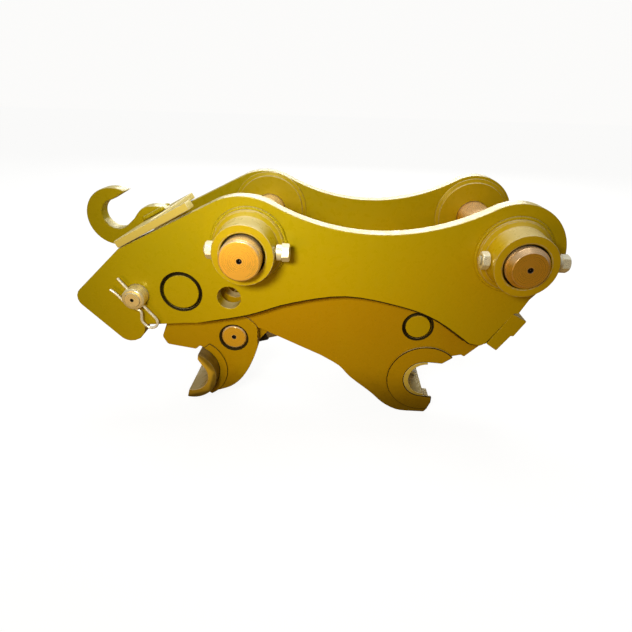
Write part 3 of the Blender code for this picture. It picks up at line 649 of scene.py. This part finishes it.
def hex_reach(flat, limit):
    """The radius of a hexagon cut round by a cone: a function of the angle."""
    def reach(turn):
        corner = flat / math.cos((turn + math.pi / 6) % (math.pi / 3) - math.pi / 6)
        return min(corner, limit)
    return reach


def hex_rows(start, end, flat, soft_start=True, soft_end=True):
    """A hexagon between two distances, with its corners turned off at its soft ends."""
    rows = []
    cone = [(0.0, 0.95), (0.5, 1.01), (1.0, 1.07), (1.5, 1.12), (2.0, 1.16)]
    if soft_start:
        rows += [(start + h, hex_reach(flat, flat * s), 0.3 if h else 0.0, 0.0) for h, s in cone]
    else:
        rows.append((start, hex_reach(flat, flat * 1.16), 0.0, 0.0))
    if soft_end:
        rows += [(end - h, hex_reach(flat, flat * s), 0.3 if h else 0.0, 0.0)
                 for h, s in reversed(cone)]
    else:
        rows.append((end, hex_reach(flat, flat * 1.16), 0.0, 0.0))
    return rows


def thread_rows(start, end, radius, pitch):
    """Thread crests and roots as shallow rings."""
    rows = []
    turns = max(1, int((end - start) / pitch))
    for i in range(turns):
        base = start + i * pitch
        rows += [(base, radius, 0.0, 0.0), (base + pitch / 2, radius - pitch * 0.5, 0.0, 0.9)]
    rows.append((start + turns * pitch, radius, 0.0, 0.0))
    return rows


for pin in ("stick", "link"):
    for side, sign in SIDES:
        ends = "%s_bolt_%s" % (pin, side)
        low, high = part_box(ends)
        y, z = middle(ends).y, middle(ends).z
        length = (high.x - low.x) / MM
        head = 13
        shank = length - head
        rows = [(0, 0, 0.0, 0.0), (0, THREAD_RADIUS - 1.2, 0.0, 0.0)]
        rows += thread_rows(1, 21, THREAD_RADIUS, THREAD_PITCH)
        rows += [(shank, THREAD_RADIUS, 0.0, 0.0)]
        rows += hex_rows(shank, length, HEX_HALF, soft_start=False)
        rows += [(length, HEX_HALF * 0.55, 0.0, 0.0), (length - 0.8, HEX_HALF * 0.45, 0.0, 0.4),
                 (length - 0.8, 0, 0.0, 0.2)]
        turned(ends, zinc, (low.x, y, z), (1, 0, 0), rows, steps=72)
        low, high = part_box("%s_bolt_spacer_%s" % (pin, side))
        width = (high.x - low.x) / MM
        profile = [(0, THREAD_RADIUS + 0.5), (0, 14), (width, 14), (width, THREAD_RADIUS + 0.5)]
        turned("%s_bolt_spacer_%s" % (pin, side), zinc, (low.x, y, z), (1, 0, 0),
               softened(profile, 0.8, closed=True), closed=True)
        low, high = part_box("%s_bolt_nut_%s" % (pin, side))
        width = (high.x - low.x) / MM
        rows = [(1.2, THREAD_RADIUS + 0.3, 0.0, 0.6), (0, THREAD_RADIUS + 1.4, 0.0, 0.0)]
        rows += hex_rows(0, width, HEX_HALF)
        rows += [(width, THREAD_RADIUS + 1.4, 0.0, 0.0), (width - 1.2, THREAD_RADIUS + 0.3, 0.0, 0.6)]
        turned("%s_bolt_nut_%s" % (pin, side), zinc, (low.x, y, z), (1, 0, 0), rows, steps=72,
               closed=True)


# Cross members ---------------------------------------------------------------------------------
# A round tube at the rear and the cylinder's anchor pin show their ends flush in the plates, in
# a dark groove. A bent bar closes the front and a deck plate ties the lower plates. A cover,
# painted paler as a highlight, slopes over the tail, and a strip of it goes on along the right plate.

def flush_end_rows(length, radius, chamfer):
    """A round bar whose ends sit flush in a plate: the chamfer is the groove round them."""
    profile = [(0, 0), (0, radius - chamfer), (chamfer, radius, 1.0), (length - chamfer, radius, 1.0),
               (length, radius - chamfer), (length, 0)]
    rows = [(0, 0, 0.0, 0.0)]
    for along, reach, *mark in profile[1:-1]:
        rows.append((along, reach, 0.0, mark[0] if mark else 0.0))
    rows.append((length, 0, 0.0, 0.0))
    return rows


for node, radius in (("rear_cross_tube", TUBE_RADIUS), ("cylinder_anchor_pin", ANCHOR_RADIUS)):
    centre = middle(node)
    low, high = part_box(node)
    turned(node, plate_enamel, (centre.x, low.y, centre.z), (0, 1, 0),
           flush_end_rows((high.y - low.y) / MM, radius - 0.05, FLUSH_CHAMFER))

for node in ("front_cross_bar", "deck_plate"):
    shaped(node, plate_enamel, edge=1.8)
# the cover is painted paler: a painted highlight
cover_highlight_enamel = enamel("cover_highlight_enamel", (0.780, 0.600, 0.130), (0.700, 0.560, 0.120), wear=0.9)
shaped("cover_plate", cover_highlight_enamel, edge=1.8)


# Lifting hook ------------------------------------------------------------------------------------
# An open hook cut from 30 mm plate, its corners well rounded for the sling, welded to the cover
# along both sides of its root.

shaped("lifting_hook", plate_enamel, edge=3.2)

COVER_SLOPE = math.radians(28.5)
COVER_TOP = 16             # how far the welds lie above the foot of the cover, square to it
ROOT_START = 8             # distance up the cover to the first weld ripple
ROOT_RUN = 56              # length of the welds along the hook's root
cover_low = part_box("cover_plate")[0]
along = Vector((math.cos(COVER_SLOPE), 0, math.sin(COVER_SLOPE)))
outward = Vector((-along.z, 0, along.x))
root_line = Vector((cover_low.x, 0, cover_low.z)) + outward * COVER_TOP * MM + along * ROOT_START * MM
for side, sign in SIDES:
    lift_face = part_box("lifting_hook")[1].y + 1.5 * MM
    beside = Vector((0, sign * lift_face, 0))
    path = [root_line + along * d * MM + beside for d in range(0, ROOT_RUN, 3)]
    weld("lift_root_seam_" + side, path, 4.5)


# Pivot lugs ---------------------------------------------------------------------------------------
# Two inner plates carry the pivot pin and the cross tube, each with a hole for the safety pin.

for side, sign in SIDES:
    shaped("pivot_lug_" + side, jaw_enamel, edge=1.6)


# The hook -----------------------------------------------------------------------------------------
# Two hook plates, a hub and two middle arms turn together on the pivot pin. The half-round
# saddle between them takes the bucket's rear pin. Its outside is painted darker.

PIVOT_BORE = 25.3
PIVOT_CHAMFER = 6
hook_enamel = enamel("hook_enamel", (0.500, 0.275, 0.001), (0.560, 0.390, 0.002))

for side, sign in SIDES:
    shaped("hook_plate_" + side, hook_enamel, edge=2.0, deep=on_rim("pivot_pin", PIVOT_BORE),
           deep_edge=PIVOT_CHAMFER)
    # every corner of a ring is painted dark: painted shade outlining its rims
    shaped("hook_ring_" + side, hook_enamel, deep=lambda p: True, deep_edge=1.2)
    shaped("hook_arm_" + side, hook_enamel, edge=1.6)
saddle_enamel = enamel("saddle_enamel", (0.66, 0.40, 0.03), (0.60, 0.34, 0.02), wear=0.7)
saddle = shaped("hook_saddle", saddle_enamel, edge=1.8)
SEAT_X, SEAT_Z = -0.228, 0.087
OUTSIDE = 52               # points further than this from the seat's axis are on the outside
OUTSIDE_DARKENING = 0.24
# the saddle's outside gets a darker mark
outside_darkening_marks = saddle.data.attributes["groove_dirt_and_shade"].data
for i, vert in enumerate(saddle.data.vertices):
    if math.hypot(vert.co.x - SEAT_X, vert.co.z - SEAT_Z) > OUTSIDE * MM:
        outside_darkening_marks[i].value = OUTSIDE_DARKENING

low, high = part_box("pivot_hub")
hub_radius = (high.z - low.z) / 2 / MM
profile = [(0, 25.4), (0, hub_radius), ((high.y - low.y) / MM, hub_radius),
           ((high.y - low.y) / MM, 25.4)]
turned("pivot_hub", hook_enamel, (pivot.x, low.y, pivot.z), (0, 1, 0),
       softened(profile, 2.0, closed=True), closed=True)

low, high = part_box("rod_pin")
rod_pin = middle("rod_pin")
steel = turned_steel("oiled_pin_steel", (0.30, 0.28, 0.25), (0.10, 0.08, 0.06), rod_pin)
turned("rod_pin", steel, (rod_pin.x, low.y, rod_pin.z), (0, 1, 0),
       pin_rows((high.y - low.y) / MM, 14.95, 1.5))


# Hydraulic cylinder ---------------------------------------------------------------------------------
# A welded barrel with its base eye on the anchor pin, a screwed gland, a chromed rod with a
# forged eye, and a check valve with two hose adapters on top.

black_enamel = enamel("black_enamel", (0.016, 0.015, 0.014), (0.030, 0.027, 0.022),
                      dirt_and_shade=(0.09, 0.065, 0.03), wear=0.6)
for node in ("cylinder_barrel", "rod_eye", "check_valve"):
    shaped(node, black_enamel, edge=1.2)
chrome = turned_steel("rod_chrome", (0.82, 0.83, 0.85), (0.62, 0.63, 0.66), coat=0.0)
dark_steel = turned_steel("dark_steel", (0.060, 0.055, 0.050), (0.10, 0.07, 0.04), metallic=0.7)
for node, look in (("cylinder_gland", dark_steel), ("cylinder_piston", dark_steel),
                   ("cylinder_rod", chrome), ("hose_adapter_1", zinc), ("hose_adapter_2", zinc),
                   ("jaw_grease_plug", zinc)):
    shaped(node, look, edge=0.8)


# Safety pin and its clip -----------------------------------------------------------------------------
# The pin is parked across the tail: a turned pin with a head at the left and a stepped end at
# the right. A sprung wire clip goes through it.

low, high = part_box("safety_pin")
safety = middle("safety_pin")
SAFETY_RADIUS = 21
length = (high.y - low.y) / MM
head_start = length - 10
rows = [(7, 0, 0.0, 1.0), (6, 2.4, 0.0, 1.0), (1, 2.6, 0.0, 1.0), (0, 3.4, 0.0, 0.6),
        (0, 4.2, 0.0, 0.0), (0, 13.2, 0.0, 0.0), (0.8, 14.0, 1.0, 0.0), (1.8, 14.2, 0.0, 0.7),
        (2.4, 15.4, 0.0, 0.0), (2.6, 18.4, 0.0, 0.0), (4.2, 20.4, 1.0, 0.0), (6.5, 21.0, 0.0, 0.0)]
rows += [(head_start - 0.5, 21.0, 0.0, 0.0), (head_start, 21.6, 0.0, 0.6),
         (head_start, 28.6, 0.0, 0.0), (head_start + 1.4, 30.0, 1.0, 0.0),
         (head_start + 8.6, 30.0, 1.0, 0.0), (length, 28.4, 0.0, 0.0), (length, 0, 0.0, 0.0)]
turned("safety_pin", turned_steel("safety_pin_steel", (1.000, 0.800, 0.360), (0.95, 0.60, 0.20),
                                  safety, metallic=0.45, coat=0.3),
       (safety.x, low.y, safety.z), (0, 1, 0), rows)

CLIP_WIRE = 2.5
CLIP_TILT = math.radians(-53)
clip_y = middle("r_clip").y
clip_centre = Vector((safety.x, clip_y, safety.z))
clip_along = Vector((math.cos(CLIP_TILT), 0, math.sin(CLIP_TILT)))
clip_side = Vector((-clip_along.z, 0, clip_along.x))


def clip_route():
    """A straight leg through the pin, a loop, and a leg that grips the pin from outside."""
    outside = SAFETY_RADIUS + CLIP_WIRE + 0.6
    route = [(-46, 0), (-20, 0), (10, 0), (36, 0.5), (54, 1)]
    route += [(54 + 13 * math.sin(a), -12 + 13 * math.cos(a))
              for a in (math.radians(d) for d in (36, 72, 108, 144))]
    route += [(52, -25.5), (42, -24), (33, -16), (27, -12.5)]
    route += [(outside * math.cos(a), -outside * math.sin(a))
              for a in (math.radians(d) for d in (42, 58, 74, 90))]
    return route + [(-14, -outside - 0.3), (-26, -outside - 1), (-38, -outside - 4)]


def smooth_route(points, steps):
    padded = [points[0], *points, points[-1]]
    curve = []
    for i in range(1, len(padded) - 2):
        p0, p1, p2, p3 = (Vector(p) for p in padded[i - 1:i + 3])
        for k in range(steps):
            t = k / steps
            bend = (2 * p0 - 5 * p1 + 4 * p2 - p3) * t * t + (3 * p1 - 3 * p2 + p3 - p0) * t * t * t
            curve.append(p1 + ((p2 - p0) * t + bend) / 2)
    return curve + [Vector(points[-1])]


wire = bpy.data.curves.new("r_clip_piece", "CURVE")
wire.dimensions = "3D"
wire.bevel_depth = CLIP_WIRE * MM
wire.bevel_resolution = 4
wire.use_fill_caps = True
line = wire.splines.new("POLY")
spots = [clip_centre + (clip_along * p.x + clip_side * p.y) * MM for p in smooth_route(clip_route(), 6)]
line.points.add(len(spots) - 1)
for point, spot in zip(line.points, spots):
    point.co = (*spot, 1)
wire.materials.append(turned_steel("clip_zinc", (0.98, 0.93, 0.74), (0.90, 0.80, 0.52),
                                   metallic=0.3, coat=0.5))
clip = bpy.data.objects.new("r_clip_piece", wire)
bpy.context.collection.objects.link(clip)
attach(clip, body_of("r_clip"))
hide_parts("r_clip")


# Studio: floor, lights and camera ------------------------------------------------------------------
# A pale floor that runs into a pale sky. A softbox overhead and one behind light the top edges,
# a small one in front lights the right side plate, and a warm card is mirrored in the pins.
# Floor and sky look paler to the camera than they light the coupler.

FLOOR_GLOW = 0.93          # the floor's own brightness where the camera sees it
SKY_LIGHT = 0.18
SKY_SEEN = 0.79            # added where the camera sees the sky
floor_mesh = bpy.data.meshes.new("floor")
FLOOR_HALF = 14.0
floor_mesh.from_pydata([(-FLOOR_HALF, -FLOOR_HALF, -0.0005), (FLOOR_HALF, -FLOOR_HALF, -0.0005),
                        (FLOOR_HALF, FLOOR_HALF, -0.0005), (-FLOOR_HALF, FLOOR_HALF, -0.0005)],
                       [], [(0, 1, 2, 3)])
floor = bpy.data.objects.new("floor", floor_mesh)
bpy.context.collection.objects.link(floor)
floor_look = bpy.data.materials.new("pale_floor")
floor_look.use_nodes = True
tree = floor_look.node_tree
seen = add_node(tree, "ShaderNodeLightPath").outputs["Is Camera Ray"]
tone = blended(tree, seen, (0.24, 0.15, 0.05, 1), (0.12, 0.12, 0.12, 1))
shader = tree.nodes["Principled BSDF"]
tree.links.new(tone, shader.inputs["Base Color"])
shader.inputs["Emission Color"].default_value = (1.0, 0.998, 0.99, 1)
tree.links.new(sums(tree, "MULTIPLY", seen, FLOOR_GLOW), shader.inputs["Emission Strength"])
shader.inputs["Roughness"].default_value = 0.9
shader.inputs["Specular IOR Level"].default_value = 0.1
floor_mesh.materials.append(floor_look)

sky = bpy.data.worlds.new("pale_sky")
bpy.context.scene.world = sky
sky.use_nodes = True
tree = sky.node_tree
seen = add_node(tree, "ShaderNodeLightPath").outputs["Is Camera Ray"]
level = sums(tree, "ADD", sums(tree, "MULTIPLY", seen, SKY_SEEN), SKY_LIGHT)
tree.links.new(level, tree.nodes["Background"].inputs["Strength"])
tree.nodes["Background"].inputs["Color"].default_value = (1.0, 0.995, 0.985, 1)


def softbox(name, place, aim, size, power, colour=(1, 1, 1), spread=180):
    light = bpy.data.lights.new(name, "AREA")
    light.shape = "RECTANGLE"
    light.size, light.size_y = size
    light.energy = power
    light.color = colour
    light.spread = math.radians(spread)
    box = bpy.data.objects.new(name, light)
    box.location = place
    box.visible_camera = False
    box.rotation_euler = (Vector(aim) - Vector(place)).to_track_quat("-Z", "Y").to_euler()
    bpy.context.collection.objects.link(box)


CENTRE = Vector((0, 0, 0.24))
softbox("overhead", (0.0, 0.4, 2.2), CENTRE, (1.6, 0.8), 28)
softbox("rear", (0.1, 2.9, 1.65), CENTRE, (3.2, 1.2), 62)
softbox("key", (-0.16, -0.96, 0.72), (-0.03, -0.16, 0.36), (0.20, 0.14), 1.35, (1.0, 0.98, 0.9), 80)
softbox("low_card", (-0.62, -1.60, 0.20), (-0.1, -0.2, 0.37), (0.8, 0.4), 3.6, (1.0, 0.60, 0.10))

camera_data = bpy.data.cameras.new("camera")
FOCAL = 450 / 632          # focal length in frame widths
camera_data.sensor_width = 36
camera_data.lens = FOCAL * camera_data.sensor_width
camera_data.clip_end = 60
camera = bpy.data.objects.new("camera", camera_data)
bpy.context.collection.objects.link(camera)
bpy.context.scene.camera = camera
TILT = math.radians(1.4746)     # the whole view is rolled so that the pins' line drops forward
forward = Vector((-0.0411, 0.8959, -0.4424))
right = Vector((0.9990, 0.0458, 0.0))
camera.location = (0.0538, -0.9239, 0.6151)


def rolled(v):
    return Vector((v.x * math.cos(TILT) - v.z * math.sin(TILT), v.y,
                   v.x * math.sin(TILT) + v.z * math.cos(TILT))).normalized()


forward, right = rolled(forward), rolled(right)
up = right.cross(forward)
camera.rotation_euler = Matrix((right, up, -forward)).transposed().to_euler()

bpy.context.scene.view_settings.view_transform = "Standard"
